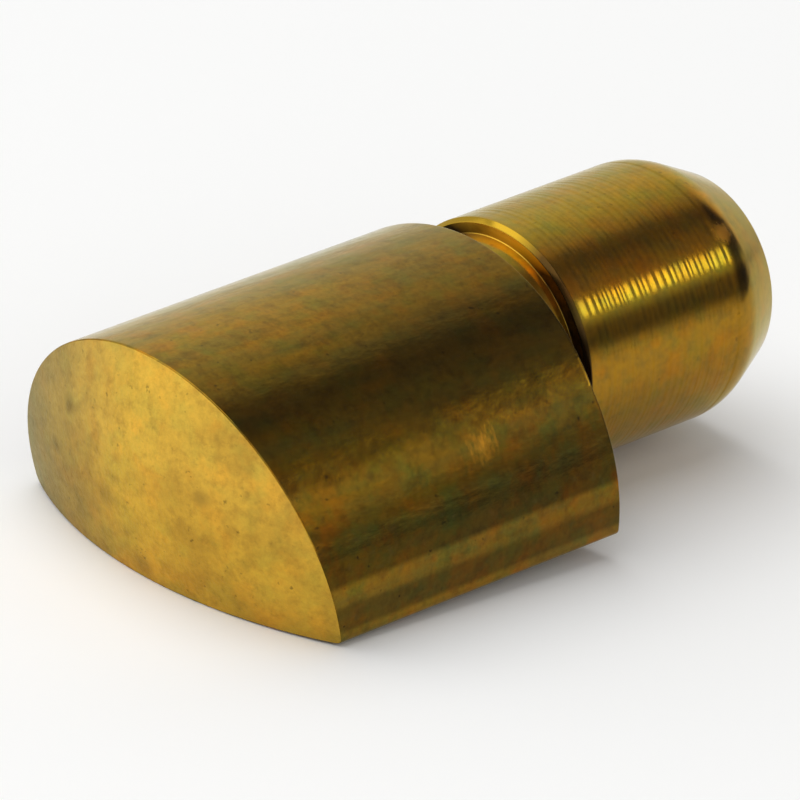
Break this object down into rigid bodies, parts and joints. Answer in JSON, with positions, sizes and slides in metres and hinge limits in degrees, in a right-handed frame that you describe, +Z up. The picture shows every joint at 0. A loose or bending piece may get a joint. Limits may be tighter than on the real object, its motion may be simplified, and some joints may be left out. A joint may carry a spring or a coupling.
{
  "type": "shelf support pin",
  "caption": "Brass shelf support pin: half-round head with a domed end and a flat seat for the shelf, and an offset round pin with a neck groove at the dished shoulder and a tapered tip.",
  "frame": {"origin": "on the axis of the pin, in the plane of the shoulder that stops against the side panel", "axes": "+X along the pin's axis towards its tip, +Y across the head, +Z up from the flat seat, which faces down as the part lies"},
  "size_m": [0.0143, 0.008, 0.005],
  "materials": {
    "brass": "bright drawn and turned brass, slightly tarnished, with a satin domed end"
  },
  "bodies": {
    "root": {"support_pin": "brass"}
  },
  "joints": []
}
